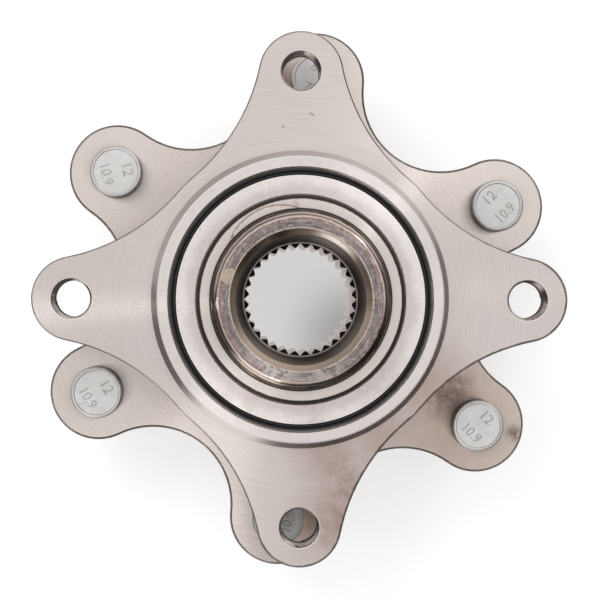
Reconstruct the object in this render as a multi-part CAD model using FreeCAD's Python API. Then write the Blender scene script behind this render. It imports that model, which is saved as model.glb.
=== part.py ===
import FreeCAD, Part
import math
import os

# Driven wheel hub bearing: an outer ring that bolts to the knuckle, and inside it, on two
# rows of balls, a splined hub spindle with a six-lobed wheel flange. All sizes are in mm.
# The bearing axis is Z. The knuckle lies above Z = 0, the mounting face of the outer ring's
# flange, and the road wheel below. The studs' ends are the lowest points.

# Splined bore of the spindle
spline_teeth = 32
spline_tip_r = 15.25
spline_depth = 1.2
spline_tip_w = 0.6
spline_root_w = 0.3
spline_length = 35.2
relief_step = 0.6
counterbore_ledge = 0.45
counterbore_depth = 12.8
counterbore_mouth_r = 18.8
collar_bevel = 1.65

# Spindle, its seat for the inner ring, and the collar rolled over that ring
spindle_wall = 6.55
abutment_h = 3.2
collar_h = 5.0
collar_round = 2.5
collar_overhang = 2.9

# Balls, races and cages
ball_d = 11.906
ball_space = 2.2
row_spacing = 22.5
race_gap = 0.15
inner_ring_wall = 2.65
inner_shoulder_h = 4.35
outer_shoulder_h = 3.85
cage_side_gap = 0.7
cage_pocket_gap = 0.25
cage_ring_t = 1.3
cage_prong_h = 3.2

# Inner ring
inner_ring_proud = 1.0
inner_ring_edge = 0.8
inner_ring_corner = 0.4

# Outer ring: pilot, knuckle flange and barrel
pilot_h = 8.0
pilot_wall = 3.85
pilot_edge = 0.4
seat_lead_in = 0.75
pilot_root_w = 2.1
pilot_root_h = 1.7
knuckle_flange_t = 11.5
knuckle_bolt_count = 4
knuckle_bolt_circle_d = 134.2
knuckle_thread_d = 12.0
knuckle_thread_lead_in = 0.25
knuckle_lobe_r = 12.46
knuckle_lobe_inset = 0.67
knuckle_flank_r = 57.6
knuckle_edge = 0.4
barrel_wall = 6.15
barrel_fillet_r = 3.0
barrel_step = 0.9
barrel_edge = 1.0

# Seals
seal_sheet_t = 0.6
seal_recess = 0.6
inboard_seal_w = 4.8
inboard_seal_gap = 1.1
outboard_seal_w = 4.4
outboard_seal_gap = 0.6
slinger_rim_gap = 1.75
slinger_bend_r = 0.9
lip_gap = 0.25
rubber_t = 0.5
lip_t = 0.45
bead_w = 1.45
bead_h = 0.35
bead_groove_w = 0.4
bead_groove_depth = 0.5

# Wheel flange, wheel pilot and nut recess
flange_gap = 3.0
flange_root_r = 6.0
wheel_flange_t = 12.0
wheel_flange_waist_r = 55.4
wheel_lobe_r = 15.35
wheel_flange_edge = 0.7
hub_turn = 25.2
wheel_pilot_r = 38.9
wheel_pilot_h = 12.0
wheel_pilot_edge = 2.0
wheel_groove_w = 2.0
wheel_groove_depth = 1.0
nut_seat_inset = 2.0
nut_recess_r = 29.5
nut_recess_draft = 1.5
nut_seat_bevel = 1.0

# Wheel studs
stud_count = 6
stud_circle_d = 139.7
stud_thread_d = 12.0
stud_knurl_d = 14.3
stud_knurl_h = 10.0
stud_head_r = 8.1
stud_head_h = 7.5
stud_head_edge = 0.6
stud_reach = 42.0
stud_point = 1.6
stud_shank = 4.0
stud_pitch = 1.5
stud_crest_w = 0.19
stud_thread_depth = 0.92

# Clearance of a pressed fit, which the finished pieces close
press_gap = 0.02

# Radii, from the bore outwards
ball_r = ball_d / 2
race_r = ball_r + race_gap
spline_root_r = spline_tip_r + spline_depth
journal_r = spline_root_r + spindle_wall
inner_race_r = journal_r + inner_ring_wall
ball_pitch_r = inner_race_r + race_r
outer_race_r = ball_pitch_r + race_r
shoulder_r = inner_race_r + inner_shoulder_h
outer_land_r = outer_race_r - outer_shoulder_h
inner_land_r = journal_r + abutment_h
collar_r = journal_r + collar_overhang
pilot_r = outer_race_r + pilot_wall
barrel_r = outer_race_r + barrel_wall
knuckle_waist_r = barrel_r + barrel_fillet_r + barrel_step
knuckle_bolt_r = knuckle_bolt_circle_d / 2
knuckle_lobe_centre_r = knuckle_bolt_r - knuckle_lobe_inset
stud_circle_r = stud_circle_d / 2
ball_count = int(2 * math.pi * ball_pitch_r / (ball_d + ball_space))

# Heights, from the knuckle face up to the collar and down to the studs' ends
cage_h = ball_r + cage_pocket_gap + cage_ring_t
ring_face_z = pilot_h + inner_ring_proud
collar_top_z = ring_face_z + collar_h
slinger_z = pilot_h - seal_recess
inboard_seal_z = slinger_z - inboard_seal_w
inboard_row_z = inboard_seal_z - inboard_seal_gap - cage_h
outboard_row_z = inboard_row_z - row_spacing
middle_z = (inboard_row_z + outboard_row_z) / 2
outboard_seal_z = outboard_row_z - cage_h - outboard_seal_gap
barrel_end_z = outboard_seal_z - outboard_seal_w
wheel_flange_top_z = barrel_end_z - flange_gap
wheel_face_z = wheel_flange_top_z - wheel_flange_t
wheel_pilot_end_z = wheel_face_z - wheel_pilot_h
nut_seat_z = wheel_face_z + nut_seat_inset
ledge_z = collar_top_z - counterbore_depth
spline_end_z = ledge_z - spline_length
stud_head_top_z = wheel_flange_top_z + stud_head_h
stud_end_z = wheel_face_z - stud_reach

axis_origin = FreeCAD.Vector(0, 0, 0)
axis = FreeCAD.Vector(0, 0, 1)


def polar(radius, degrees, z=0.0):
    angle = math.radians(degrees)
    return FreeCAD.Vector(radius * math.cos(angle), radius * math.sin(angle), z)


def save(name, shape):
    shape.exportStep(os.path.join("parts", name + ".step"))


def turned(section):
    """Solid turned about the axis from a closed half section. An entry is a point (r, z), or an
    arc (r, z through which it passes, r, z where it ends)."""
    edges = []
    here = FreeCAD.Vector(section[0][0], 0, section[0][1])
    for entry in section[1:] + section[:1]:
        there = FreeCAD.Vector(entry[-2], 0, entry[-1])
        if len(entry) == 4:
            through = FreeCAD.Vector(entry[0], 0, entry[1])
            edges.append(Part.Arc(here, through, there).toShape())
        else:
            edges.append(Part.makeLine(here, there))
        here = there
    return Part.Face(Part.Wire(edges)).revolve(axis_origin, axis, 360)


def washer(inner_r, outer_r, low_z, high_z):
    return turned([(inner_r, low_z), (outer_r, low_z), (outer_r, high_z), (inner_r, high_z)])


def quarter(corner_r, corner_z, radius, r_side, z_side):
    """Middle of a quarter round whose centre lies r_side and z_side of a radius from it."""
    reach = radius * math.sqrt(0.5)
    return corner_r + r_side * reach, corner_z + z_side * reach


def race_reach(depth):
    """Half width of a race where it is this deep below the pitch circle of the balls."""
    return math.sqrt(race_r ** 2 - depth ** 2)


def copies(shape, count, radius, turn=0.0):
    """The same shape at even steps round the axis, at this radius."""
    placed = []
    for index in range(count):
        one = shape.copy()
        one.translate(polar(radius, turn + index * 360.0 / count))
        placed.append(one)
    return placed


def lobed_plate(count, turn, lobe_centre_r, lobe_r, waist_r, flank_r, low_z, high_z, bevel):
    """Plate with round lobes joined to a round waist by hollow flanks. The flanks are arcs of
    flank_r. Where flank_r is None, or they would meet above the waist, one arc spans each
    valley and touches the waist in its middle."""
    half_pitch = 180.0 / count
    if flank_r is not None:
        to_flank = waist_r + flank_r
        lobe_to_flank = lobe_r + flank_r
        cosine = to_flank ** 2 + lobe_centre_r ** 2 - lobe_to_flank ** 2
        flank_angle = math.degrees(math.acos(cosine / (2 * to_flank * lobe_centre_r)))
    if flank_r is None or flank_angle > half_pitch:
        flank_angle = half_pitch
        across = lobe_centre_r * math.cos(math.radians(half_pitch))
        over = lobe_r ** 2 - waist_r ** 2 - lobe_centre_r ** 2 + 2 * waist_r * across
        flank_r = over / (2 * (waist_r - across - lobe_r))
        to_flank = waist_r + flank_r
    edges = []
    for index in range(count):
        middle = turn + index * 2 * half_pitch
        lobe_centre = polar(lobe_centre_r, middle, low_z)
        ends = {}
        for side in (-1, 1):
            flank_centre = polar(to_flank, middle + side * flank_angle, low_z)
            towards_lobe = (lobe_centre - flank_centre).normalize()
            towards_waist = (axis * low_z - flank_centre).normalize()
            between = (towards_lobe + towards_waist).normalize()
            on_lobe = flank_centre + towards_lobe * flank_r
            on_waist = flank_centre + towards_waist * flank_r
            through = flank_centre + between * flank_r
            ends[side] = (on_lobe, through, on_waist)
        tip = polar(lobe_centre_r + lobe_r, middle, low_z)
        edges.append(Part.Arc(ends[-1][2], ends[-1][1], ends[-1][0]).toShape())
        edges.append(Part.Arc(ends[-1][0], tip, ends[1][0]).toShape())
        edges.append(Part.Arc(ends[1][0], ends[1][1], ends[1][2]).toShape())
        if flank_angle < half_pitch:
            waist_middle = polar(waist_r, middle + half_pitch, low_z)
            waist_end = polar(waist_r, middle + 2 * half_pitch - flank_angle, low_z)
            edges.append(Part.Arc(ends[1][2], waist_middle, waist_end).toShape())
    outline = Part.Wire(Part.__sortEdges__(edges))
    plate = Part.Face(outline).extrude(axis * (high_z - low_z))
    rims = []
    for edge in plate.Edges:
        heights = [vertex.Z for vertex in edge.Vertexes]
        if abs(heights[0] - heights[-1]) < 1e-6:
            rims.append(edge)
    return plate.makeChamfer(bevel, rims)


def outer_ring():
    """Forged ring with both outer races, the knuckle pilot and the four-lobed flange."""
    outer_depth = outer_land_r - ball_pitch_r
    slant = race_r * math.sqrt(0.5)
    fillet_z = -knuckle_flange_t - barrel_fillet_r
    ring = turned([
        (outer_race_r + seat_lead_in, pilot_h),
        (pilot_r - pilot_edge, pilot_h),
        (pilot_r, pilot_h - pilot_edge),
        (pilot_r, pilot_root_h),
        (pilot_r + pilot_root_w, 0.0),
        (pilot_r + pilot_root_w, -knuckle_flange_t / 2),
        (barrel_r + barrel_fillet_r, -knuckle_flange_t / 2),
        (barrel_r + barrel_fillet_r, -knuckle_flange_t),
        quarter(barrel_r + barrel_fillet_r, fillet_z, barrel_fillet_r, -1, 1) + (barrel_r, fillet_z),
        (barrel_r, barrel_end_z + barrel_edge),
        (barrel_r - barrel_edge, barrel_end_z),
        (outer_race_r + seat_lead_in, barrel_end_z),
        (outer_race_r, barrel_end_z + seat_lead_in),
        (outer_race_r, outboard_row_z),
        (ball_pitch_r + slant, outboard_row_z + slant,
         outer_land_r, outboard_row_z + race_reach(outer_depth)),
        (outer_land_r, inboard_row_z - race_reach(outer_depth)),
        (ball_pitch_r + slant, inboard_row_z - slant, outer_race_r, inboard_row_z),
        (outer_race_r, pilot_h - seat_lead_in),
    ])
    plate = lobed_plate(knuckle_bolt_count, 0.0, knuckle_lobe_centre_r, knuckle_lobe_r,
                        knuckle_waist_r, knuckle_flank_r, -knuckle_flange_t, 0.0, knuckle_edge)
    plate = plate.cut(Part.makeCylinder(outer_race_r + pilot_wall / 2, knuckle_flange_t,
                                        axis * -knuckle_flange_t))
    body = ring.fuse(plate).removeSplitter()
    thread_r = knuckle_thread_d / 2
    mouth_r = thread_r + knuckle_thread_lead_in
    hole = Part.makeCylinder(thread_r, knuckle_flange_t, axis * -knuckle_flange_t)
    top_mouth = Part.makeCone(thread_r, mouth_r, knuckle_thread_lead_in,
                              axis * -knuckle_thread_lead_in)
    low_mouth = Part.makeCone(mouth_r, thread_r, knuckle_thread_lead_in,
                              axis * -knuckle_flange_t)
    for tool in (hole, top_mouth, low_mouth):
        body = body.cut(copies(tool, knuckle_bolt_count, knuckle_bolt_r))
    return body


def inner_race(row_z, side):
    """Inner race from its low land to its high shoulder, which is on this side of the row."""
    low_z = row_z - side * race_reach(ball_pitch_r - inner_land_r)
    high_z = row_z + side * race_reach(ball_pitch_r - shoulder_r)
    return [(inner_land_r, low_z), (inner_race_r, row_z, shoulder_r, high_z)]


def inner_ring():
    """Separate inner ring of the inboard row, pressed on the spindle under the collar."""
    bore_r = journal_r + press_gap
    section = [
        (bore_r, middle_z + inner_ring_corner),
        (bore_r + inner_ring_corner, middle_z),
        (inner_land_r, middle_z),
    ]
    section += inner_race(inboard_row_z, 1)
    section += [
        (shoulder_r, ring_face_z - inner_ring_edge),
        (shoulder_r - inner_ring_edge, ring_face_z),
        (bore_r + inner_ring_corner, ring_face_z),
        (bore_r, ring_face_z - inner_ring_corner),
    ]
    return turned(section)


def spline_spaces():
    """Prism of the spline's minor bore and of the spaces between its teeth."""
    low_z = spline_end_z - relief_step
    pitch = 360.0 / spline_teeth
    tip_half = math.degrees(spline_tip_w / spline_tip_r) / 2
    root_half = math.degrees(spline_root_w / spline_root_r) / 2
    edges = []
    for index in range(spline_teeth):
        space = index * pitch
        tip_start = polar(spline_tip_r, space - pitch / 2 + tip_half, low_z)
        root_start = polar(spline_root_r, space - root_half, low_z)
        root_end = polar(spline_root_r, space + root_half, low_z)
        tip_end = polar(spline_tip_r, space + pitch / 2 - tip_half, low_z)
        tip_middle = polar(spline_tip_r, space + pitch / 2, low_z)
        next_start = polar(spline_tip_r, space + pitch / 2 + tip_half, low_z)
        edges.append(Part.makeLine(tip_start, root_start))
        edges.append(Part.makeLine(root_start, root_end))
        edges.append(Part.makeLine(root_end, tip_end))
        edges.append(Part.Arc(tip_end, tip_middle, next_start).toShape())
    return Part.Face(Part.Wire(edges)).extrude(axis * (ledge_z - low_z))


def hub_spindle():
    """Spindle, rolled collar, outboard inner race, wheel flange and wheel pilot in one forging."""
    collar_flat_r = collar_r - collar_round
    fillet_z = wheel_flange_top_z + flange_root_r
    fillet_r = shoulder_r + flange_root_r
    section = [
        (0.0, wheel_pilot_end_z),
        (0.0, collar_top_z),
        (collar_flat_r, collar_top_z),
        quarter(collar_flat_r, collar_top_z - collar_round, collar_round, 1, 1)
        + (collar_r, collar_top_z - collar_round),
        (collar_r, ring_face_z),
        (journal_r, ring_face_z),
        (journal_r, middle_z),
        (inner_land_r, middle_z),
    ]
    section += inner_race(outboard_row_z, -1)
    section += [
        (shoulder_r, fillet_z),
        quarter(fillet_r, fillet_z, flange_root_r, -1, -1) + (fillet_r, wheel_flange_top_z),
        (wheel_pilot_r, wheel_flange_top_z),
        (wheel_pilot_r, wheel_pilot_end_z + wheel_pilot_edge),
        (wheel_pilot_r - wheel_pilot_edge, wheel_pilot_end_z),
    ]
    plate = lobed_plate(stud_count, hub_turn, stud_circle_r, wheel_lobe_r,
                        wheel_flange_waist_r, None, wheel_face_z, wheel_flange_top_z,
                        wheel_flange_edge)
    body = turned(section).fuse(plate).removeSplitter()
    bevel_r = counterbore_mouth_r + collar_bevel
    relief_r = spline_root_r + relief_step
    bore = turned([
        (0.0, collar_top_z + collar_bevel),
        (bevel_r + collar_bevel, collar_top_z + collar_bevel),
        (counterbore_mouth_r, collar_top_z - collar_bevel),
        (spline_root_r + counterbore_ledge, ledge_z),
        (spline_root_r, ledge_z),
        (spline_tip_r, ledge_z - spline_depth),
        (spline_tip_r, spline_end_z),
        (relief_r, spline_end_z - relief_step),
        (relief_r, nut_seat_z + nut_seat_bevel),
        (relief_r + nut_seat_bevel, nut_seat_z),
        (nut_recess_r, nut_seat_z),
        (nut_recess_r + nut_recess_draft, wheel_pilot_end_z),
        (0.0, wheel_pilot_end_z),
    ])
    body = body.cut(bore)
    body = body.cut(spline_spaces())
    body = body.cut(washer(wheel_pilot_r, wheel_pilot_r + wheel_groove_w,
                           wheel_face_z, wheel_face_z + wheel_groove_depth))
    stud_hole = Part.makeCylinder(stud_knurl_d / 2 + press_gap, wheel_flange_t,
                                  axis * wheel_face_z)
    return body.cut(copies(stud_hole, stud_count, stud_circle_r, hub_turn))


def wheel_studs():
    """Six studs, pressed through the wheel flange from its knuckle side. The thread's turns are
    rings: each is a groove of the thread's depth."""
    thread_r = stud_thread_d / 2
    knurl_r = stud_knurl_d / 2
    knurl_end_z = wheel_flange_top_z - stud_knurl_h
    thread_end_z = stud_end_z + stud_point
    turns = int((wheel_face_z - stud_shank - thread_end_z) / stud_pitch)
    section = [
        (0.0, stud_end_z),
        (thread_r - stud_point, stud_end_z),
        (thread_r, thread_end_z),
    ]
    for turn in range(turns):
        groove_z = thread_end_z + turn * stud_pitch + stud_crest_w
        section += [
            (thread_r, groove_z),
            (thread_r - stud_thread_depth, groove_z + (stud_pitch - stud_crest_w) / 2),
            (thread_r, groove_z + stud_pitch - stud_crest_w),
        ]
    section += [
        (thread_r, knurl_end_z - (knurl_r - thread_r)),
        (knurl_r, knurl_end_z),
        (knurl_r, wheel_flange_top_z),
        (stud_head_r, wheel_flange_top_z),
        (stud_head_r, stud_head_top_z - stud_head_edge),
        quarter(stud_head_r - stud_head_edge, stud_head_top_z - stud_head_edge,
                stud_head_edge, 1, 1) + (stud_head_r - stud_head_edge, stud_head_top_z),
        (0.0, stud_head_top_z),
    ]
    return Part.makeCompound(copies(turned(section), stud_count, stud_circle_r, hub_turn))


def cage(row_z, side):
    """Moulded cage: a ring on the seal's side of the row, with prongs between the balls."""
    ring_z = row_z + side * cage_h
    prong_z = row_z - side * cage_prong_h
    band = washer(shoulder_r + cage_side_gap, outer_land_r - cage_side_gap,
                  min(ring_z, prong_z), max(ring_z, prong_z))
    pocket = Part.makeSphere(ball_r + cage_pocket_gap, axis * row_z)
    return band.cut(copies(pocket, ball_count, ball_pitch_r))


def ball_row(row_name, row_z):
    """One steel ball to a node, numbered round the row."""
    ball = Part.makeSphere(ball_r, axis * row_z)
    for index, placed in enumerate(copies(ball, ball_count, ball_pitch_r)):
        save(f"{row_name}_ball_{index + 1:02d}", placed)


def slinger():
    """Pressed steel slinger of the inboard seal: a sleeve on the inner ring and a wide flange."""
    sleeve_r = shoulder_r + press_gap
    rim_r = outer_race_r - slinger_rim_gap
    bend_r = sleeve_r + slinger_bend_r
    inner_bend = slinger_bend_r - seal_sheet_t
    return turned([
        (sleeve_r, inboard_seal_z + seal_sheet_t),
        (sleeve_r, slinger_z - slinger_bend_r),
        quarter(bend_r, slinger_z - slinger_bend_r, slinger_bend_r, -1, 1) + (bend_r, slinger_z),
        (rim_r, slinger_z),
        (rim_r, slinger_z - seal_sheet_t),
        (bend_r, slinger_z - seal_sheet_t),
        quarter(bend_r, slinger_z - slinger_bend_r, inner_bend, -1, 1)
        + (sleeve_r + seal_sheet_t, slinger_z - slinger_bend_r),
        (sleeve_r + seal_sheet_t, inboard_seal_z + seal_sheet_t),
    ])


def seal_case(wall_z, mouth_z, lip_root_r):
    """Pressed steel case of a seal: a wall in the outer ring's bore and a flange inwards."""
    outer_r = outer_race_r - press_gap
    inwards = math.copysign(seal_sheet_t, mouth_z - wall_z)
    return turned([
        (lip_root_r, wall_z),
        (outer_r, wall_z),
        (outer_r, mouth_z),
        (outer_r - seal_sheet_t, mouth_z),
        (outer_r - seal_sheet_t, wall_z + inwards),
        (lip_root_r, wall_z + inwards),
    ])


def inboard_seal():
    """Seal case and the rubber bonded to it, with a side lip and a radial lip on the slinger."""
    case_r = outer_race_r - press_gap - seal_sheet_t
    sleeve_r = shoulder_r + press_gap + seal_sheet_t
    lip_root_r = sleeve_r + 3 * rubber_t
    bead_z = slinger_z - bead_h
    floor_z = inboard_seal_z + seal_sheet_t
    side_lip_r = (lip_root_r + case_r) / 2
    side_lip_top_z = slinger_z - seal_sheet_t - lip_gap
    groove_middle_r = outer_race_r - bead_w / 2
    case = seal_case(inboard_seal_z, bead_z, lip_root_r)
    rubber = turned([
        (lip_root_r, inboard_seal_z),
        (lip_root_r, floor_z),
        (case_r, floor_z),
        (case_r, bead_z),
        (outer_race_r - press_gap, bead_z),
        (outer_race_r - press_gap, slinger_z),
        (groove_middle_r + bead_groove_w / 2, slinger_z),
        (groove_middle_r, slinger_z - bead_groove_depth),
        (groove_middle_r - bead_groove_w / 2, slinger_z),
        (outer_race_r - bead_w, slinger_z),
        (outer_race_r - bead_w, bead_z - bead_h),
        (case_r - rubber_t, bead_z - bead_h - rubber_t),
        (case_r - rubber_t, floor_z + rubber_t),
        (side_lip_r + lip_t, floor_z + rubber_t),
        (side_lip_r + 2 * lip_t, side_lip_top_z),
        (side_lip_r + lip_t, side_lip_top_z),
        (side_lip_r, floor_z + rubber_t),
        (lip_root_r, floor_z + rubber_t),
        (sleeve_r + lip_gap, floor_z + 2 * rubber_t),
        (sleeve_r + lip_gap, floor_z + rubber_t),
        (lip_root_r - rubber_t, inboard_seal_z),
    ])
    return case, rubber


def outboard_seal():
    """Seal case and rubber on the wheel's side, with lips on the spindle and the flange."""
    case_r = outer_race_r - press_gap - seal_sheet_t
    lip_root_r = shoulder_r + 3 * rubber_t
    floor_z = outboard_seal_z - seal_sheet_t
    mouth_z = barrel_end_z + seat_lead_in
    side_lip_r = case_r - 2 * rubber_t - lip_t
    lip_tip_r = case_r - rubber_t
    lip_tip_z = wheel_flange_top_z + lip_gap
    case = seal_case(outboard_seal_z, mouth_z, lip_root_r)
    rubber = turned([
        (lip_root_r, outboard_seal_z),
        (lip_root_r - rubber_t, outboard_seal_z),
        (shoulder_r + lip_gap, floor_z - rubber_t),
        (shoulder_r + lip_gap, floor_z - 2 * rubber_t),
        (lip_root_r, floor_z - rubber_t),
        (side_lip_r - lip_t, floor_z - rubber_t),
        (lip_tip_r - lip_t, lip_tip_z),
        (lip_tip_r, lip_tip_z),
        (side_lip_r + lip_t, floor_z - 2 * rubber_t),
        (case_r - rubber_t, floor_z - 2 * rubber_t),
        (case_r - rubber_t, mouth_z),
        (case_r, mouth_z),
        (case_r, floor_z),
        (lip_root_r, floor_z),
    ])
    return case, rubber


os.makedirs("parts", exist_ok=True)
save("outer_ring", outer_ring())
save("hub_spindle", hub_spindle())
save("inboard_inner_ring", inner_ring())
save("wheel_studs", wheel_studs())
save("inboard_cage", cage(inboard_row_z, 1))
save("outboard_cage", cage(outboard_row_z, -1))
save("slinger", slinger())
inboard_case, inboard_rubber = inboard_seal()
save("inboard_seal_case", inboard_case)
save("inboard_seal_lip", inboard_rubber)
outboard_case, outboard_rubber = outboard_seal()
save("outboard_seal_case", outboard_case)
save("outboard_seal_lip", outboard_rubber)
ball_row("inboard", inboard_row_z)
ball_row("outboard", outboard_row_z)
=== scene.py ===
import math

import bmesh
import bpy
from mathutils import Matrix, Quaternion, Vector


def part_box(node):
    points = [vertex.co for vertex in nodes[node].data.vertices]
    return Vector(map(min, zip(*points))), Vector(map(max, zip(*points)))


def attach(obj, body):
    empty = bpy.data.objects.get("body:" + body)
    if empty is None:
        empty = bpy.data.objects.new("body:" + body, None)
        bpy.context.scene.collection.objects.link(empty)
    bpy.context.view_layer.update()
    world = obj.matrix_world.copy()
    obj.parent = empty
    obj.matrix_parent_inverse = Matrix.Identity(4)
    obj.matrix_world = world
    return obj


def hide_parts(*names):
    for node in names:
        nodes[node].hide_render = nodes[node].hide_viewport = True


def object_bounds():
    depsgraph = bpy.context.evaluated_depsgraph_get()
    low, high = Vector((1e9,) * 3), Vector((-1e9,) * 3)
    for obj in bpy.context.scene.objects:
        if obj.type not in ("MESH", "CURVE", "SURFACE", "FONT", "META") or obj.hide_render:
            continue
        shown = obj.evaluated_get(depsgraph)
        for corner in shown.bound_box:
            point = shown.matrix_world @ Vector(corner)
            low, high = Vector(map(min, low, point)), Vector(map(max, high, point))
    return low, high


# A driven wheel hub bearing seen from its knuckle side: a lobed ring that bolts to the knuckle
# and, turning in it on two rows of balls, a splined spindle with a lobed wheel flange. The
# bearing axis is Z, and heights are measured from the ring's knuckle face. Meshes, lamps and
# camera are placed in metres, and materials measure in millimetres.
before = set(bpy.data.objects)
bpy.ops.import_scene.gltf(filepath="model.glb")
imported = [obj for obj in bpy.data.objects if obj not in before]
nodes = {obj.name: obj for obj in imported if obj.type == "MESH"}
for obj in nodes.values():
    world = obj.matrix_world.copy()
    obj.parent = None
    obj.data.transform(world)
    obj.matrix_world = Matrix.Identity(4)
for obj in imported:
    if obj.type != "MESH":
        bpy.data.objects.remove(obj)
cad_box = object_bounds()
bpy.ops.object.select_all(action="DESELECT")


# The hub spindle is one steel forging, turned bright on its faces and races and left rough on
# the wheel flange's edge. Its collar was rolled over the inner ring, which tinted it with heat,
# and painted shade darkens the collar's foot; a dark film covers the bore above the broached spline.
class Wire:
    """A shader socket that takes part in sums: each operator adds the Math node for it."""

    def __init__(self, tree, socket=None):
        self.tree = tree
        self.socket = socket

    def node(self, kind, settings, sockets, output=None):
        """Adds a node. Its settings come first, then a value or a link for each socket."""
        made = self.tree.nodes.new("ShaderNode" + kind)
        for name, value in settings.items():
            if name == "stops":
                elements = made.color_ramp.elements
                elements[0].position = value[0][0]
                elements[1].position = value[-1][0]
                for place, colour in value[1:-1]:
                    elements.new(place)
                for element, (place, colour) in zip(elements, value):
                    element.color = (*colour, 1.0)
            else:
                setattr(made, name, value)
        for name, value in sockets.items():
            socket = made.inputs[name] if isinstance(name, int) else next(
                one for one in made.inputs if one.name == name and one.enabled)
            if isinstance(value, Wire):
                self.tree.links.new(value.socket, socket)
            elif socket.type == "RGBA":
                socket.default_value = (*value, 1.0)
            else:
                socket.default_value = value
        found = [one for one in made.outputs if one.enabled and output in (None, one.name)]
        return Wire(self.tree, found[0] if found else None)

    def other(self, output):
        """Another output of the same node."""
        return Wire(self.tree, self.socket.node.outputs[output])

    def math(self, operation, first, second=0.0):
        return self.node("Math", {"operation": operation}, {0: first, 1: second})

    def larger(self, other):
        return self.math("MAXIMUM", self, other)

    def smaller(self, other):
        return self.math("MINIMUM", self, other)

    def __abs__(self):
        return self.math("ABSOLUTE", self)

    def __add__(self, other):
        return self.math("ADD", self, other)

    def __sub__(self, other):
        return self.math("SUBTRACT", self, other)

    def __rsub__(self, other):
        return self.math("SUBTRACT", other, self)

    def __mul__(self, other):
        return self.math("MULTIPLY", self, other)

    __radd__ = __add__
    __rmul__ = __mul__


class Surface:
    """A new material and the measures of the surface that it covers, in millimetres."""

    def __init__(self, name):
        self.material = bpy.data.materials.new(name)
        self.material.use_nodes = True
        tree = self.material.node_tree
        tree.nodes.clear()
        self.start = Wire(tree)
        metres = self.start.node("TexCoord", {}, {}, "Object")
        self.place = self.start.node("VectorMath", {"operation": "SCALE"},
                                     {"Vector": metres, "Scale": 1000.0})
        self.x = self.start.node("SeparateXYZ", {}, {"Vector": self.place})
        self.y = self.x.other("Y")
        self.height = self.x.other("Z")
        self.flat = self.start.node("CombineXYZ", {}, {"X": self.x, "Y": self.y})
        self.radius = self.start.node("VectorMath", {"operation": "LENGTH"},
                                      {"Vector": self.flat}, "Value")
        self.slope = abs(self.start.node("SeparateXYZ", {}, {"Vector": metres.other("Normal")}, "Z"))

    def noise(self, per_mm, detail=2.0, roughness=0.5):
        """Even noise from 0 to 1 with this many spots to a millimetre."""
        return self.start.node("TexNoise", {"noise_dimensions": "3D"}, {
            "Vector": self.place, "Scale": per_mm, "Detail": detail, "Roughness": roughness}, "Fac")

    def lines(self, per_mm, spread=3.0):
        """Lines round the axis, 0 to 1, as a tool leaves them, broken every few degrees."""
        along = self.radius * self.slope + self.height * (1 - self.slope)
        angle = self.start.math("ARCTAN2", self.y, self.x)
        whole = self.start.node("TexNoise", {"noise_dimensions": "1D"},
                                {"W": along, "Scale": per_mm, "Detail": 3.0}, "Fac")
        bent = self.start.node("CombineXYZ", {}, {"X": along * per_mm, "Y": angle * spread})
        broken = self.start.node("TexNoise", {"noise_dimensions": "2D"},
                                 {"Vector": bent, "Scale": 1.0, "Detail": 2.0}, "Fac")
        return whole * 0.5 + broken * 0.5

    def off(self, x, y, flat=None):
        """Distance from a line along the axis through this point, for these flat coordinates."""
        return self.start.node("VectorMath", {"operation": "DISTANCE"},
                               {0: flat or self.flat, 1: (x, y, 0)}, "Value")

    def near(self, *places):
        """1 at any of these points and 0 as far from it as its third number says."""
        masks = [rise(self.off(x, y), reach, 0.0) for x, y, reach in places]
        found = masks[0]
        for mask in masks[1:]:
            found = found.larger(mask)
        return found

    def finish(self, colour, roughness, metallic, relief, depth, fixed=None, clear_below=False):
        """Joins the shader. What is fixed is the same all over, and the depth is the relief's."""
        bump = self.start.node("Bump", {}, {"Height": relief, "Distance": depth / 1000.0})
        sockets = {"Base Color": colour, "Roughness": roughness, "Metallic": metallic,
                   "Normal": bump}
        sockets.update(fixed or {})
        shader = self.start.node("BsdfPrincipled", {}, sockets)
        if clear_below:
            behind = self.start.node("NewGeometry", {}, {}, "Backfacing")
            clear = self.start.node("BsdfTransparent", {}, {})
            shader = self.start.node("MixShader", {}, {0: behind, 1: shader, 2: clear})
        self.start.node("OutputMaterial", {}, {"Surface": shader})
        return self.material


def rise(value, low, high):
    """0 at low and 1 at high, smooth between them."""
    return value.node("MapRange", {"interpolation_type": "SMOOTHSTEP"},
                      {"Value": value, "From Min": low, "From Max": high})


def blend(mask, first, second):
    """The first colour where the mask is 0 and the second where it is 1."""
    return mask.node("Mix", {"data_type": "RGBA"}, {"Factor": mask, "A": first, "B": second})


def ramp(value, *stops):
    return value.node("ValToRGB", {"stops": stops}, {"Fac": value})


turned_grain = {"Anisotropic": 1.0, "Anisotropic Rotation": 0.25}
turned_depth = 0.03
spindle = Surface("spindle_steel")

# The wheel flange: turned faces, browned where grease has dried, painted shade where the ring's
# lobes hang over it, and the forged edge.
flange_waist_r = 53.0
spindle_r = 32.0
forged_slope = 0.80
flange_bright = (0.740, 0.670, 0.632)
flange_warm = (0.650, 0.578, 0.540)
forged_edge = (0.130, 0.105, 0.092)
ground_race = (0.620, 0.600, 0.590)
oil_brown = (0.420, 0.310, 0.252)
oil_dark = (0.190, 0.118, 0.088)
shade_behind_lobe = (0.260, 0.180, 0.142)
brown_places = ((52.0, -40.0, 42.0), (5.0, -72.0, 26.0))
smudge_places = ((48.6, -30.0, 12.0), (70.0, -43.0, 4.2))
shaded_places_behind_lobes = ((8.0, -64.0, 16.0), (-6.0, 68.0, 13.0))

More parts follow.
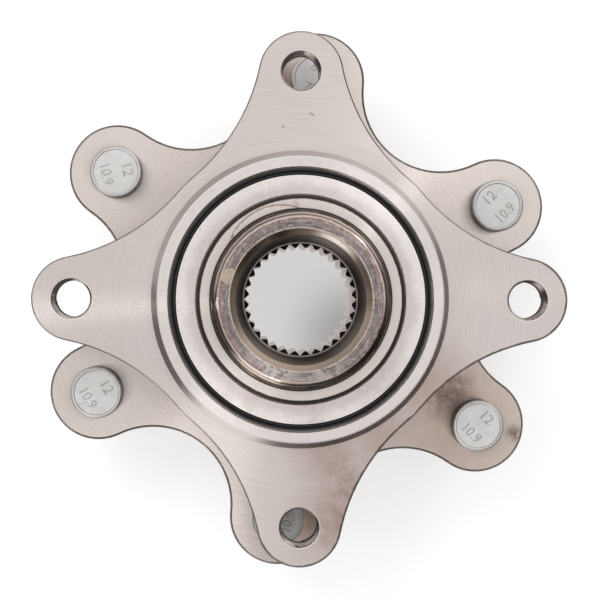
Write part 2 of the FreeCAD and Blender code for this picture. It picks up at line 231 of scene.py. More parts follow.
turning = spindle.lines(2.2)
patches = spindle.noise(0.06, 3.0)
blots = spindle.noise(0.28, 5.0, 0.65)
scale = spindle.noise(0.9, 5.0, 0.65)
uneven = rise(turning, 0.36, 0.64) * 0.5 + rise(patches, 0.3, 0.7) * 0.5
colour = blend(uneven, flange_warm, flange_bright)
brown = spindle.near(*brown_places) * (0.50 + 0.5 * blots)
colour = blend(brown, colour, oil_brown)
smudge = spindle.near(*smudge_places) * rise(blots * 0.6 + scale * 0.4, 0.28, 0.62)
colour = blend(smudge * 0.88, colour, oil_dark)
# Painted shade on the wheel flange under the ring's top and bottom lobes, seen through their holes.
colour = blend(spindle.near(*shaded_places_behind_lobes), colour, shade_behind_lobe)
side = rise(spindle.slope + (blots - 0.5) * 0.30, forged_slope + 0.08, forged_slope - 0.12)
side = side * rise(spindle.radius, flange_waist_r, flange_waist_r + 1.0)
colour = blend(side * (0.35 + 0.8 * scale), colour, forged_edge)
colour = blend(rise(spindle.radius, spindle_r, spindle_r - 0.6), colour, ground_race)

# The collar: heat tints run in bands from the bore's mouth outwards, with painted light and dark
# rings across the rounding, painted shade and a painted highlight, and an oil drop on the flat.
mouth_r = 18.8
bevel_r = 20.45
flat_r = 23.4
collar_r = 26.8
collar_foot_z = 8.6
collar_top_z = 14.0
round_shade_black = (0.045, 0.034, 0.028)
bevel_shade = (0.085, 0.064, 0.050)
bevel_highlight = (0.900, 0.860, 0.820)
foot_shade_black = (0.052, 0.038, 0.031)
foot_bronze = (0.360, 0.260, 0.185)
flat_dark = (0.088, 0.070, 0.064)
flat_light = (0.500, 0.455, 0.440)
flat_pale = (0.560, 0.520, 0.500)
drop_brown = (0.560, 0.460, 0.370)
bevel_shade_places = ((-15.0, 12.5, 13.5), (-6.0, 18.5, 7.0))
bevel_highlight_place = (10.0, 16.5, 9.0)
round_shade_place = (20.0, -15.0, 23.0)
pale_places = ((-7.0, -20.5, 13.0), (7.0, -20.5, 9.0))
drop_place = (-20.6, 6.6)
drop_r = 2.4

from_mouth = spindle.radius - mouth_r + (spindle.noise(0.30, 3.0) - 0.5) * 0.6
# Heat tints, with painted light and dark rings across the rounding and painted shade at its outer
# edge towards the foot.
collar_tint_and_light = ramp(from_mouth * (1 / (collar_r - mouth_r)),
            (0.02, (0.640, 0.530, 0.450)), (0.17, (0.590, 0.460, 0.365)),
            (0.22, (0.540, 0.450, 0.385)), (0.29, (0.215, 0.188, 0.184)),
            (0.46, (0.240, 0.198, 0.190)), (0.54, (0.330, 0.240, 0.232)),
            (0.57, (0.130, 0.088, 0.066)), (0.61, (0.520, 0.410, 0.380)),
            (0.66, (0.480, 0.385, 0.345)), (0.70, (0.120, 0.084, 0.062)),
            (0.745, (0.660, 0.590, 0.530)), (0.785, (0.420, 0.340, 0.285)),
            (0.82, (0.060, 0.044, 0.035)), (0.88, (0.035, 0.026, 0.021)))
# Painted shade on the bevel along its upper-left side.
bevel_shade_mask = spindle.near(*bevel_shade_places) * rise(spindle.radius, bevel_r + 0.15, bevel_r - 0.15)
collar_tint_and_light = blend(bevel_shade_mask * 0.85, collar_tint_and_light, bevel_shade)
# A painted highlight on the bevel at the upper right.
bevel_highlight_mask = spindle.near(bevel_highlight_place) * rise(from_mouth, 1.5, 0.9)
collar_tint_and_light = blend(bevel_highlight_mask, collar_tint_and_light, bevel_highlight)
# Painted shade on the rounding at the lower right.
round_shade = spindle.near(round_shade_place) * rise(spindle.radius, flat_r, flat_r + 0.4)
collar_tint_and_light = blend(round_shade * 0.9, collar_tint_and_light, round_shade_black)
# Painted shade on the collar's outer wall, broken by bronze patches.
foot_shade = rise(spindle.height, collar_top_z - 0.8, collar_top_z - 1.4)
foot_shade = foot_shade * rise(spindle.radius, flat_r - 0.4, flat_r + 0.6)
bronze = rise(spindle.noise(0.16, 3.0), 0.46, 0.74)
collar_tint_and_light = blend(foot_shade, collar_tint_and_light, blend(bronze, foot_shade_black, foot_bronze))
rolled_flat = rise(spindle.height, collar_top_z - 0.15, collar_top_z - 0.02)
rolling = scale * 0.45 + spindle.lines(1.4, 5.0) * 0.55
mottle = spindle.noise(2.4, 4.0, 0.75)
rolling = rolling * 0.75 + mottle * 0.25
collar_tint_and_light = blend(rolled_flat * rise(rolling, 0.50, 0.60) * 0.68, collar_tint_and_light, flat_dark)
collar_tint_and_light = blend(rolled_flat * rise(rolling, 0.50, 0.40) * 0.60, collar_tint_and_light, flat_light)
pale = spindle.near(*pale_places) * rise(blots, 0.44, 0.48)
collar_tint_and_light = blend(rolled_flat * pale * 0.55, collar_tint_and_light, flat_pale)
drop = rise(spindle.off(*drop_place) + (blots - 0.5) * 0.8, drop_r + 0.1, drop_r - 0.1)
collar_tint_and_light = blend(drop * 0.65, collar_tint_and_light, drop_brown)
on_collar = rise(spindle.height, collar_foot_z, collar_foot_z + 0.4)
colour = blend(on_collar, colour, collar_tint_and_light)

# The bore: a dark film with painted reflections on its wall, painted light near the mouth and
# painted shade lower down, to the ledge where the spline starts.
ledge_z = 1.2
spline_r = 17.0
tooth_lead_in = 1.35
bore_film = (0.030, 0.024, 0.020)
bore_film_light = (0.062, 0.050, 0.042)
bore_reflection = (0.230, 0.195, 0.175)
bore_light_near_mouth = (0.250, 0.185, 0.145)
bore_shade_low = (0.012, 0.010, 0.009)
ledge_steel = (0.620, 0.545, 0.500)
broached = (0.740, 0.665, 0.645)
tooth_end_shade = (0.030, 0.026, 0.023)
bore_reflection_places = ((7.0, 17.0, 13.0), (-10.0, -15.0, 13.0), (14.0, -11.0, 11.0))
bore_light_z = (6.0, 12.0)
bore_shade_z = (9.0, 2.0)

in_bore = rise(spindle.radius, mouth_r + 0.30, mouth_r - 0.10)
bore_film_and_light = blend(rise(blots, 0.35, 0.65), bore_film, bore_film_light)
# Painted reflections on the bore wall.
bore_film_and_light = blend(spindle.near(*bore_reflection_places) * 0.9, bore_film_and_light, bore_reflection)
# Painted light high in the bore and painted shade deeper down.
bore_film_and_light = blend(rise(spindle.height, *bore_light_z) * 0.45, bore_film_and_light, bore_light_near_mouth)
bore_film_and_light = blend(rise(spindle.height, *bore_shade_z) * 0.55, bore_film_and_light, bore_shade_low)
bore_film_and_light = blend(rise(spindle.slope, 0.90, 0.97), bore_film_and_light, ledge_steel)
colour = blend(in_bore, colour, bore_film_and_light)
in_spline = rise(spindle.radius, spline_r + 0.5, spline_r)
in_spline = in_spline * rise(spindle.height, ledge_z + 0.1, ledge_z - 0.1)
# The teeth's upper ends are painted near black: painted shade.
tooth_z = ledge_z - tooth_lead_in
tooth_end = rise(spindle.height, tooth_z - 0.15, tooth_z + 0.15)
colour = blend(in_spline, colour, blend(tooth_end, broached, tooth_end_shade))

oiled_bore = in_bore * (1 - in_spline)
burnished = on_collar * rise(spindle.radius, flat_r - 0.4, flat_r + 0.2)
rough = 0.23 + 0.07 * patches + 0.34 * side + 0.10 * smudge
rough = rough + (0.10 * scale - 0.05) * on_collar - 0.12 * burnished + 0.22 * oiled_bore
metal = 1.0 - 0.35 * side - 0.35 * oiled_bore
pits = spindle.noise(1.6, 5.0, 0.65)
relief = turning * 0.42 * (1 - side) + pits * (0.12 + 2.4 * side + 0.45 * on_collar)
spindle_steel = spindle.finish(colour, rough, metal, relief, turned_depth, turned_grain)
nodes["hub_spindle"].material_slots[0].material = spindle_steel


# The outer ring is a second forging. Its knuckle face, pilot and both outer races are turned in
# one clamping, which leaves fine arcs on the lobes, and the lobes' edges keep the forged skin.
# Its four holes are tapped, so each gets the ridge of its thread.
ring = Surface("ring_steel")
face_light = (0.660, 0.602, 0.578)
face_dark = (0.580, 0.522, 0.502)
face_grain = (0.430, 0.375, 0.355)
haze_brown = (0.400, 0.292, 0.250)
stain_brown = (0.330, 0.225, 0.195)
dirt_and_hole_shade = (0.230, 0.190, 0.165)
haze_places = ((38.0, -26.0, 22.0), (26.0, -41.0, 20.0), (9.0, -46.0, 17.0), (13.0, -64.0, 24.0))
stain_places = ((13.0, -66.0, 13.0), (15.0, -55.0, 13.0))
chip_places = ((3.6, 54.2, 0.5), (3.1, 54.45, 0.5), (2.6, 54.75, 0.45), (-5.3, 50.7, 0.6),
               (30.7, -37.9, 0.9))

turning = ring.lines(2.6)
patches = ring.noise(0.05, 3.0)
clouds = ring.noise(0.26, 6.0, 0.74)
fine = ring.noise(2.3, 4.0, 0.75)
specks = rise(ring.noise(1.1, 3.0, 0.6), 0.70, 0.78)
uneven = rise(turning, 0.36, 0.64) * 0.5 + rise(patches, 0.3, 0.7) * 0.5
colour = blend(uneven, face_dark, face_light)
colour = blend(rise(fine, 0.52, 0.76) * 0.35, colour, face_grain)
haze = ring.near(*haze_places) * (0.35 + 0.75 * clouds)
colour = blend(haze, colour, haze_brown)
stain = ring.near(*stain_places) * rise(clouds, 0.25, 0.75)
colour = blend(stain * 0.75, colour, stain_brown)
chips = ring.near(*chip_places)
colour = blend(specks * 0.35 + chips * 0.9, colour, dirt_and_hole_shade)

# The pilot: brighter than the face, with a painted highlight on its bevelled rim outside and the
# seal's seat inside.
pilot_r = 41.8
pilot_root_r = 43.9
pilot_top_z = 8.0
pilot_edge = 0.5
wall_foot_z = (0.8, 1.4)
seal_seat_r = 38.6
pilot_light = (0.690, 0.640, 0.620)
pilot_wall = (0.760, 0.745, 0.790)
pilot_grain = (0.480, 0.430, 0.415)
pilot_tarnish = (0.520, 0.480, 0.470)
seat_steel = (0.640, 0.590, 0.570)
rim_highlight_colour = (0.800, 0.760, 0.740)

on_pilot = rise(ring.radius, pilot_r + 0.2, pilot_r - 0.2) * rise(ring.height, 0.0, 1.0)
colour = blend(on_pilot, colour, pilot_light)
wall = rise(ring.slope, 0.5, 0.3) * rise(ring.height, *wall_foot_z)
wall = wall * rise(ring.radius, pilot_r - 0.6, pilot_r - 0.4)
colour = blend(wall, colour, pilot_wall)
colour = blend(on_pilot * rise(fine, 0.50, 0.74) * 0.35, colour, pilot_grain)
tarnish = rise(patches * 0.6 + clouds * 0.4, 0.55, 0.40) * on_pilot
colour = blend(tarnish * 0.35, colour, pilot_tarnish)
seat = rise(ring.radius, seal_seat_r + 0.1, seal_seat_r - 0.1) * rise(ring.slope, 0.95, 0.80)
colour = blend(seat, colour, seat_steel)
# A painted highlight on the pilot's bevelled rim.
rim_highlight = rise(ring.height, pilot_top_z - pilot_edge - 0.15, pilot_top_z - pilot_edge)
rim_highlight = rim_highlight * rise(ring.radius, pilot_r - pilot_edge - 0.15, pilot_r - pilot_edge)
colour = blend(rim_highlight, colour, rim_highlight_colour)

# The lobes' forged edges, wider and darker towards the lower right, and the four holes, with painted
# shade on their walls and a painted highlight on their mouths.
ring_edge_r = 47.5
skin_slope = 0.74
lower_right_start = (50.0, 65.0)
lobe_place = (66.43, 0.0)
lobe_skin_r = (11.98, 12.18)
lobe_start = (68.3, 69.3)
flank_place = (80.04, 68.73)
flank_skin_r = (58.07, 57.87)
knuckle_hole_r = 67.1
hole_sides = (6.9, 6.4)
hole_inner_r = (59.0, 60.0)
hole_outer_r = (74.5, 73.5)
hole_mouth_highlight = (0.950, 0.910, 0.885)

# Every lobe is folded on the one at +X, and both flanks of each on one.
outward = abs(ring.x).larger(abs(ring.y))
across = abs(ring.x).smaller(abs(ring.y))
folded = ring.start.node("CombineXYZ", {}, {"X": outward, "Y": across})
in_hole = rise(across, *hole_sides) * rise(ring.radius, *hole_inner_r)
in_hole = in_hole * rise(ring.radius, *hole_outer_r)
side = rise(ring.slope + (clouds - 0.5) * 0.30, skin_slope + 0.08, skin_slope - 0.12)
side = side * rise(ring.radius, ring_edge_r, ring_edge_r + 0.6) * (1 - in_hole)
lower_right = rise(ring.x - ring.y, *lower_right_start)
wide = 0.28 * lower_right + (clouds - 0.5) * 0.7
at_lobe = rise(ring.off(*lobe_place, folded) + wide, *lobe_skin_r) * rise(outward, *lobe_start)
at_flank = rise(ring.off(*flank_place, folded) - wide, *flank_skin_r)
skin = at_lobe.larger(at_flank) * rise(ring.radius, pilot_root_r, pilot_root_r + 1.0)
side = side.larger(skin) * (0.55 + 0.20 * lower_right + 0.4 * (clouds - 0.5))
colour = blend(side, colour, forged_edge)
# Painted shade on the holes' walls.
colour = blend(in_hole * rise(ring.slope, 0.5, 0.3), colour, dirt_and_hole_shade)
# A painted highlight on the holes' mouths.
mouth_highlight = in_hole * rise(ring.slope, 0.45, 0.55) * rise(ring.slope, 0.95, 0.85)
colour = blend(mouth_highlight, colour, hole_mouth_highlight)

rough = 0.23 + 0.07 * patches + 0.32 * side + 0.08 * stain - 0.02 * on_pilot
metal = 1.0 - 0.35 * side - 0.7 * rim_highlight - 0.85 * mouth_highlight
pits = ring.noise(1.8, 5.0, 0.65)
relief = turning * 0.38 * (1 - side) + pits * (0.10 + 2.6 * side) - chips * 2.0 - specks * 0.3
ring_steel = ring.finish(colour, rough, metal, relief, turned_depth, turned_grain)
nodes["outer_ring"].material_slots[0].material = ring_steel


def pick(kind, mode, test):
    """Selects, of the mesh in edit mode, only the parts that pass the test."""
    bpy.ops.mesh.select_mode(type=mode)
    bpy.ops.mesh.select_all(action="DESELECT")
    mesh = bmesh.from_edit_mesh(bpy.context.object.data)
    for part in getattr(mesh, kind):
        if test(part):
            part.select_set(True)
    bmesh.update_edit_mesh(bpy.context.object.data)


def extrude(climb):
    """Extrudes the picked faces along the axis, down if the climb is below zero."""
    bpy.ops.mesh.extrude_region_move(TRANSFORM_OT_translate={"value": (0, 0, climb)})


def apply_place():
    """Puts the active piece's place, turn and scale in its mesh."""
    bpy.ops.object.transform_apply(location=True, rotation=True, scale=True)


def screw_ridge(wall_r, crest_r, pitch, low_z, turns, steps):
    """A thread's ridge round the axis, from its wall to its crest, closed at both ends."""
    root_share = 0.94
    crest_share = 0.14
    tiny = 1e-5
    bpy.ops.mesh.primitive_plane_add(size=1.0, rotation=(math.pi / 2, 0, 0),
                                     location=((wall_r + crest_r) / 2, 0, low_z + pitch / 2))
    ridge = bpy.context.object
    ridge.scale = (abs(wall_r - crest_r), pitch * root_share, 1.0)
    apply_place()
    bpy.ops.object.mode_set(mode="EDIT")
    pick("verts", "VERT", lambda vert: abs(vert.co.x - crest_r) < tiny)
    bpy.ops.transform.resize(value=(1, 1, crest_share))
    bpy.ops.mesh.select_all(action="SELECT")
    bpy.ops.mesh.delete(type="ONLY_FACE")
    bpy.ops.object.mode_set(mode="OBJECT")
    screw = ridge.modifiers.new("Turns", "SCREW")
    screw.axis = "Z"
    screw.screw_offset = pitch
    screw.iterations = turns
    screw.steps = steps
    screw.render_steps = steps
    bpy.ops.object.modifier_apply(modifier=screw.name)
    bpy.ops.object.mode_set(mode="EDIT")
    high_z = low_z + pitch * (turns + 1)

    def is_end_crest(vert):
        at_end = vert.co.z < low_z + pitch or vert.co.z > high_z - pitch
        return at_end and abs(vert.co.y) < tiny and abs(vert.co.x - crest_r) < tiny

    pick("verts", "VERT", is_end_crest)
    inwards = 0.999 * wall_r / crest_r
    bpy.ops.transform.resize(value=(inwards, inwards, 1), center_override=(0, 0, 0))
    bpy.ops.mesh.select_mode(type="EDGE")
    bpy.ops.mesh.select_all(action="DESELECT")
    bpy.ops.mesh.select_non_manifold()
    bpy.ops.mesh.fill_holes(sides=4)
    bpy.ops.mesh.select_all(action="SELECT")
    bpy.ops.mesh.normals_make_consistent(inside=False)
    bpy.ops.object.mode_set(mode="OBJECT")
    return ridge


def copy_to(piece, name, location, turn):
    """A copy of the piece with its own mesh, turned about its own axis and moved."""
    bpy.ops.object.select_all(action="DESELECT")
    piece.select_set(True)
    bpy.context.view_layer.objects.active = piece
    bpy.ops.object.duplicate()
    copied = bpy.context.object
    copied.location = location
    copied.rotation_euler = (0, 0, turn)
    apply_place()
    copied.name = name
    copied.data.name = name
    return copied


def round_axis(angle, radius):
    """A point at this angle and radius round the bearing's axis."""
    return Matrix.Rotation(angle, 3, "Z") @ Vector((radius, 0, 0))


tapped = Surface("tapped_steel")
tapped_dark = (0.260, 0.220, 0.198)
tapped_light = (0.620, 0.565, 0.535)
wear = tapped.noise(0.25, 4.0, 0.6)
colour = blend(rise(wear, 0.34, 0.66), tapped_dark, tapped_light)
tapped_steel = tapped.finish(colour, 0.16 + 0.12 * wear, 1.0, wear, 0.01)

knuckle_hole_count = 4
knuckle_pitch = 0.00125
knuckle_wall_r = 0.00603
knuckle_crest_r = 0.00533
knuckle_low_z = -0.01095
knuckle_turns = 7
ridge = screw_ridge(knuckle_wall_r, knuckle_crest_r, knuckle_pitch, knuckle_low_z,
                    knuckle_turns, steps=40)
bpy.ops.object.shade_smooth_by_angle(angle=math.radians(35))
ridge.data.materials.append(tapped_steel)
for index in range(knuckle_hole_count):
    around = index * 2 * math.pi / knuckle_hole_count
    place = round_axis(around, knuckle_hole_r / 1000)
    thread = copy_to(ridge, f"knuckle_thread_{index + 1}", place, around)
    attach(thread, "outer_ring")
bpy.data.objects.remove(ridge)


# Two rows of through-hardened steel balls run in the races, polished to a mirror, and each row
# is kept apart by a cage moulded in glass-filled nylon.
polished = Surface("ball_steel")
ball_grey = (0.660, 0.655, 0.650)
ball_bright = (0.740, 0.740, 0.745)
haze = polished.noise(0.5, 3.0)
colour = blend(haze, ball_grey, ball_bright)
ball_steel = polished.finish(colour, 0.06 + 0.06 * haze, 1.0, haze, 0.001)

nylon = Surface("cage_nylon")
nylon_dark = (0.150, 0.200, 0.110)
nylon_light = (0.205, 0.265, 0.150)
grain = nylon.noise(2.5, 4.0)
colour = blend(rise(nylon.noise(0.3, 3.0), 0.3, 0.7), nylon_dark, nylon_light)
cage_nylon = nylon.finish(colour, 0.42 + 0.18 * grain, 0.0, grain, 0.03)

for name, node in nodes.items():
    if "_ball_" in name:
        node.material_slots[0].material = ball_steel
    elif name.endswith("_cage"):
        node.material_slots[0].material = cage_nylon


# The inboard inner ring is ground bearing steel, pressed on the spindle and held by the collar.
# Painted shade darkens it next to the crevices at its two edges, and old oil has left a faint ring
# mark on its face.
race = Surface("race_steel")
collar_foot_r = 26.15
chamfer_r = 29.1
fine_depth = 0.016
mark_place = (-5.7, 11.6)
mark_r = 15.7
mark_half_w = (0.42, 0.16)
mark_start_y = (13.0, 16.0)
crevice_shade_start_z = (7.0, 7.6)
blur_places = ((-1.5, 27.5, 5.5), (-19.0, 19.5, 5.0))
face_beige = (0.610, 0.545, 0.512)
face_grey = (0.665, 0.608, 0.582)
crevice_shade = (0.036, 0.029, 0.024)
mark_brown = (0.270, 0.175, 0.105)

turning = race.lines(3.0)
patches = race.noise(0.12, 3.0)
smears = race.noise(0.45, 4.0, 0.6)
colour = blend(rise(turning * 0.4 + patches * 0.6, 0.3, 0.7), face_beige, face_grey)
mark_off = abs(race.off(*mark_place) + (smears - 0.5) * 1.0 - mark_r)
mark = rise(mark_off, *mark_half_w) * rise(race.y, *mark_start_y) * rise(smears, 0.32, 0.46)
blur = race.near(*blur_places) * rise(smears, 0.48, 0.62)
colour = blend(mark * 0.70 + blur * 0.35, colour, mark_brown)
# Painted shade next to the crevices: at the chamfer towards the slinger and at the collar's foot.
edge = rise(race.radius + race.noise(0.7, 3.0) * 0.25, chamfer_r, chamfer_r + 0.35)
foot_shade = rise(race.radius, collar_foot_r + 0.42, collar_foot_r + 0.2)
crevice_shade_mask = edge.larger(foot_shade) * rise(race.height, *crevice_shade_start_z)
colour = blend(crevice_shade_mask, colour, crevice_shade)
rough = 0.23 + 0.07 * patches + 0.25 * crevice_shade_mask
race_steel = race.finish(colour, rough, 1.0 - 0.6 * crevice_shade_mask, turning, fine_depth, turned_grain)
nodes["inboard_inner_ring"].material_slots[0].material = race_steel


# Slinger and seal cases are pressed from bright stainless sheet. The slinger's wide flange turns
# with the hub, is a little brighter towards its rim and carries fine specks of dirt.
sheet = Surface("stainless_sheet")
pressed_grain = {"Anisotropic": 0.85, "Anisotropic Rotation": 0.25}
bright_rim_r = (31.5, 35.0)
dull_places = ((24.0, -24.0, 14.0), (-16.0, -29.0, 15.0), (2.0, -33.0, 9.0))
sheet_inner = (0.590, 0.535, 0.525)
sheet_outer = (0.745, 0.695, 0.675)
sheet_dull = (0.430, 0.350, 0.330)
speck_brown = (0.300, 0.235, 0.220)
speck_bright = (0.900, 0.860, 0.850)

turning = sheet.lines(3.2)
grain = sheet.noise(2.2, 4.0, 0.7)
smears = sheet.noise(0.16, 4.0, 0.6)
colour = blend(rise(sheet.radius + (smears - 0.5) * 4.0, *bright_rim_r), sheet_inner, sheet_outer)
dull = sheet.near(*dull_places) * rise(smears, 0.34, 0.60)
colour = blend(dull * 0.45, colour, sheet_dull)
colour = blend(rise(grain, 0.52, 0.76) * 0.50, colour, speck_brown)
colour = blend(rise(grain, 0.44, 0.28) * 0.50, colour, speck_bright)
relief = turning * 0.5 + grain * 0.5
stainless = sheet.finish(colour, 0.26 + 0.10 * grain, 1.0, relief, fine_depth, pressed_grain)
for name in ("slinger", "inboard_seal_case", "outboard_seal_case"):
    nodes[name].material_slots[0].material = stainless


# The seals' lips are nitrile rubber, bonded to their cases. A grooved bead closes the gap
# between the inboard case and the pilot.
rubber = Surface("seal_rubber")
rubber_black = (0.010, 0.0095, 0.010)
rubber_dusty = (0.028, 0.026, 0.026)
dust = rubber.noise(0.7, 4.0, 0.65)
skin = rubber.noise(3.0, 3.0)
colour = blend(rise(dust, 0.5, 0.8), rubber_black, rubber_dusty)
seal_rubber = rubber.finish(colour, 0.38 + 0.16 * dust, 0.0, skin, 0.02,
                            {"Specular IOR Level": 0.32})
for name in ("inboard_seal_lip", "outboard_seal_lip"):
    nodes[name].material_slots[0].material = seal_rubber


# Six cold-headed studs are pressed through the wheel flange from its knuckle side, until the
# knurl under the head grips. They are zinc plated, with a rolled M12 x 1.5 thread, and each head
# carries its size and its strength class in raised figures.
zinc = Surface("stud_zinc")
flange_top_z = -44.0
zinc_light = (0.740, 0.730, 0.718)
zinc_dark = (0.640, 0.630, 0.618)
zinc_shade = (0.105, 0.108, 0.110)
zinc_in_shade = (0.215, 0.215, 0.190)
shaded_stud_place = (-5.8, -69.6, 20.0)

crystals = zinc.noise(2.2, 4.0, 0.7)
clouded = rise(zinc.noise(0.30, 3.0) * 0.5 + crystals * 0.5, 0.36, 0.64)
colour = blend(clouded, zinc_dark, zinc_light)
above_flange = rise(zinc.height, flange_top_z - 0.5, flange_top_z + 0.5)
# The heads' steep sides and the figures' bevels get painted shade.
colour = blend(rise(zinc.slope, 0.55, 0.15) * above_flange * 0.75, colour, zinc_shade)
# Painted shade on the stud that shows through the ring's bottom hole.
stud_shade = zinc.near(shaded_stud_place) * rise(zinc.height, flange_top_z - 1.0, flange_top_z)
colour = blend(stud_shade * 0.75, colour, zinc_in_shade)
stud_zinc = zinc.finish(colour, 0.40 + 0.16 * crystals, 0.92, crystals, 0.05)

stud_low, stud_high = (corner.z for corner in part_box("wheel_studs"))
stud_circle_r = 0.06985
hub_turn = math.radians(25.2)
stud_turns = [46, 150, -77, -60, 75, -45]
head_r = 0.0081
head_h = 0.0075
head_round = 0.0007
rim_w = 0.00025
rim_slope_w = 0.00028
rim_h = 0.00026
knurl_r = 0.00715
knurl_core_r = 0.00695
knurl_h = 0.010
shank_r = 0.00598
shank_end_z = -0.0600
core_r = 0.00507
point_h = 0.0009
point_share = 0.85
stud_pitch = 0.0015
thread_run_out = 0.0012
ridge_sunk = 0.00004
figure_size = 0.0047
figure_h = 0.00008
figure_bevel = 0.00015
figure_lines = (("12", 0.0036, 1.0), ("10.9", -0.0032, 0.88))
stud_sides = 72
flange_top = stud_high - head_h
knurl_end = flange_top - knurl_h

bpy.ops.mesh.primitive_cylinder_add(vertices=stud_sides, radius=head_r, depth=head_h,
                                    location=(0, 0, flange_top + head_h / 2))
stud = bpy.context.object
apply_place()
bpy.ops.object.mode_set(mode="EDIT")
pick("faces", "FACE", lambda face: face.normal.z > 0.9)
bpy.ops.mesh.bevel(offset=head_round, segments=5)
pick("faces", "FACE", lambda face: face.normal.z > 0.99 and len(face.verts) == stud_sides)
bpy.ops.mesh.inset(thickness=rim_w)
bpy.ops.mesh.inset(thickness=rim_slope_w)
bpy.ops.transform.translate(value=(0, 0, -rim_h))
pick("faces", "FACE", lambda face: face.normal.z < -0.9)
bpy.ops.mesh.inset(thickness=head_r - knurl_core_r)
extrude(-knurl_h)
bpy.ops.mesh.inset(thickness=knurl_core_r - shank_r)
extrude(shank_end_z - knurl_end)
bpy.ops.mesh.inset(thickness=shank_r - core_r)
extrude(stud_low + point_h - shank_end_z)
extrude(-point_h)
bpy.ops.transform.resize(value=(point_share, point_share, 1))
bpy.ops.object.mode_set(mode="OBJECT")
stud_parts = [stud]

bpy.ops.mesh.primitive_cylinder_add(vertices=stud_sides, radius=knurl_r, depth=knurl_h,
                                    location=(0, 0, flange_top - knurl_h / 2))
apply_place()
bpy.ops.object.mode_set(mode="EDIT")
tooth_angle = 2 * math.pi / stud_sides
pick("verts", "VERT", lambda vert: round(math.atan2(vert.co.y, vert.co.x) / tooth_angle) % 2)
valley = knurl_core_r / knurl_r
bpy.ops.transform.resize(value=(valley, valley, 1), center_override=(0, 0, 0))
bpy.ops.object.mode_set(mode="OBJECT")
stud_parts.append(bpy.context.object)

thread_low_z = stud_low + thread_run_out
thread_turns = int((shank_end_z - thread_low_z) / stud_pitch) - 1
stud_parts.append(screw_ridge(core_r - ridge_sunk, shank_r, stud_pitch, thread_low_z,
                              thread_turns, steps=32))

for figures, offset_y, wide in figure_lines:
    bpy.ops.object.text_add(location=(0, offset_y, stud_high - rim_h))
    text = bpy.context.object
    text.data.body = figures
    text.data.size = figure_size
    text.data.align_x = "CENTER"
    text.data.align_y = "CENTER"
    text.data.extrude = figure_h
    text.data.offset = -figure_bevel
    text.data.bevel_depth = figure_bevel
    text.data.bevel_resolution = 0
    text.data.resolution_u = 3
    text.scale = (wide, 1, 1)
    bpy.ops.object.convert(target="MESH")
    apply_place()
    stud_parts.append(bpy.context.object)

bpy.ops.object.select_all(action="DESELECT")
for part in stud_parts:
    part.select_set(True)
bpy.context.view_layer.objects.active = stud
bpy.ops.object.join()
bpy.ops.object.shade_smooth_by_angle(angle=math.radians(32))
stud.data.materials.clear()
stud.data.materials.append(stud_zinc)
for index, degrees in enumerate(stud_turns):
    place = round_axis(hub_turn + index * 2 * math.pi / len(stud_turns), stud_circle_r)
    one = copy_to(stud, f"wheel_stud_{index + 1}", place, math.radians(degrees))
    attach(one, "hub")
    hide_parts("wheel_studs")
bpy.data.objects.remove(stud)


# A plain pale floor under the studs' ends, lit a little from within so that it reads white and
# shaded under the bore, and a small card there that only reflections see. Both are clear from
# below, where they would hide the wheel's side.
floor_size = 6.0
floor_gap = 0.0001
card_r = 0.030
card_gap = 0.001
paper_grey = (0.720, 0.720, 0.722)
paper_white = (0.740, 0.740, 0.742)
card_white = (0.8, 0.8, 0.8)
full_glow = (1.0, 1.0, 1.0)
bore_glow = (0.87, 0.87, 0.87)
shade_glow = (0.38, 0.38, 0.38)
floor_glow = 0.50
card_glow = 0.85
under_bore_place = (3.0, 1.0)
under_bore_r = (24.0, 18.0)
shade_place = (21.3, -14.8)
shade_r = (5.0, 29.0)
floor_z = cad_box[0].z - floor_gap

bpy.ops.mesh.primitive_plane_add(size=floor_size, location=(0, 0, floor_z))
floor = bpy.context.object
floor.name = "floor"
paper = Surface("floor_paper")
fibre = paper.noise(0.02)
under_bore = rise(paper.off(*under_bore_place), *under_bore_r)
shaded = blend(rise(paper.off(*shade_place), *shade_r), shade_glow, bore_glow)
glow = blend(under_bore, full_glow, shaded)
floor.data.materials.append(paper.finish(
    blend(fibre, paper_grey, paper_white), 0.9, 0.0, fibre, 0.01,
    {"Emission Color": glow, "Emission Strength": floor_glow}, clear_below=True))
floor.visible_glossy = False

bpy.ops.mesh.primitive_circle_add(vertices=48, radius=card_r, fill_type="NGON",
                                  location=(0, 0, floor_z + card_gap))
card = bpy.context.object
card.name = "card"
white = Surface("card_paper")
card.data.materials.append(white.finish(
    card_white, 0.9, 0.0, white.noise(0.02), 0.01,
    {"Emission Color": full_glow, "Emission Strength": card_glow}, clear_below=True))
card.visible_camera = False
card.visible_diffuse = False
card.visible_shadow = False


# Soft studio light: a bright panel overhead, panels of unlike brightness round the object, as in
# a tent that is open in places, and lamps that draw the streaks on the turned faces.
wall_levels = [(0, 0.16), (16, 0.16), (32, 0.60), (48, 0.75), (62, 0.80), (95, 0.62), (120, 0.46),
               (165, 0.55), (173, 0.42), (178, 0.08), (216, 0.10), (230, 0.95), (252, 1.00),
               (262, 0.15), (278, 0.08), (340, 0.08), (360, 0.16)]
panel_strength = 1.2
low_wall = (0.42, 0.41, 0.40)
ground = (0.16, 0.15, 0.145)
overhead_left = (0.84, 0.835, 0.83)
overhead_right = (1.11, 1.11, 1.115)
plain_backdrop = (0.75, 0.75, 0.75)
low_wall_lift = (0.0, -0.3)
ground_lift = (-0.6, -0.85)
overhead_lift = (0.76, 0.92)
left_to_right = (-0.30, 0.35)

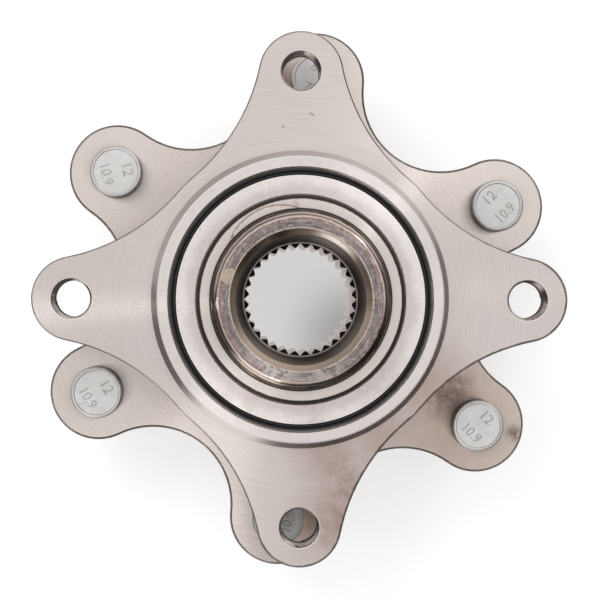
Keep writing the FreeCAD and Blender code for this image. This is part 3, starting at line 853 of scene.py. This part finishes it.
world = bpy.data.worlds.new("studio")
bpy.context.scene.world = world
world.use_nodes = True
world.node_tree.nodes.clear()
sky = Wire(world.node_tree)
east = sky.node("SeparateXYZ", {}, {"Vector": sky.node("TexCoord", {}, {}, "Generated")})
north = east.other("Y")
lift = east.other("Z")
turn = sky.math("FRACT", sky.math("ARCTAN2", north, east) * (0.5 / math.pi) + 1.0)
walls = ramp(turn, *[(degrees / 360, (level, level * 0.98, level * 0.96))
                     for degrees, level in wall_levels])
walls = blend(rise(lift, *low_wall_lift), walls, low_wall)
walls = blend(rise(lift, *ground_lift), walls, ground)
overhead = blend(rise(east + north, *left_to_right), overhead_left, overhead_right)
glow = blend(rise(lift, *overhead_lift), walls, overhead)
glow = blend(sky.node("LightPath", {}, {}, "Is Camera Ray"), glow, plain_backdrop)
backdrop = sky.node("Background", {}, {"Color": glow, "Strength": panel_strength})
sky.node("OutputWorld", {}, {"Surface": backdrop})


def softbox(name, azimuth, elevation, distance, width, height, power):
    """A lamp that looks at the object from this side and height, in degrees."""
    lamp = bpy.data.lights.new(name, "AREA")
    lamp.shape = "RECTANGLE"
    lamp.size = width
    lamp.size_y = height
    lamp.energy = power
    made = bpy.data.objects.new(name, lamp)
    bpy.context.scene.collection.objects.link(made)
    side = math.radians(azimuth)
    climb = math.radians(elevation)
    towards = Vector((math.cos(side) * math.cos(climb), math.sin(side) * math.cos(climb),
                      math.sin(climb)))
    made.location = towards * distance
    made.rotation_euler = towards.to_track_quat("Z", "Y").to_euler()
    return made


key = softbox("key_upper_left", azimuth=128.0, elevation=60.0, distance=1.3,
              width=0.45, height=0.45, power=3.5)
key.visible_glossy = False
softbox("streak_upper_right", azimuth=43.5, elevation=52.0, distance=1.1,
        width=0.08, height=0.35, power=0.34)
softbox("streak_left", azimuth=183.5, elevation=50.0, distance=1.1,
        width=0.03, height=0.35, power=0.34)
softbox("fill_lower_left", azimuth=240.0, elevation=50.0, distance=1.1,
        width=0.40, height=0.35, power=0.9)


# The camera stands half a metre above the knuckle face and looks almost straight down, with the
# upper side of the picture towards +Y.
eye = Vector((-0.01138, 0.00228, 0.500))
target = Vector((-0.00006, -0.00014, 0.0))
roll = math.radians(0.246)
camera = bpy.data.cameras.new("camera")
camera.sensor_width = 36.0
camera.lens = 102.15
view = bpy.data.objects.new("camera", camera)
bpy.context.scene.collection.objects.link(view)
back = (eye - target).normalized()
right = Vector((0, 1, 0)).cross(back).normalized()
upright = Matrix((right, back.cross(right), back)).transposed().to_quaternion()
view.location = eye
view.rotation_mode = "QUATERNION"
view.rotation_quaternion = upright @ Quaternion((0, 0, 1), roll)
bpy.context.scene.camera = view
bpy.context.scene.view_settings.view_transform = "Standard"

bpy.context.view_layer.update()
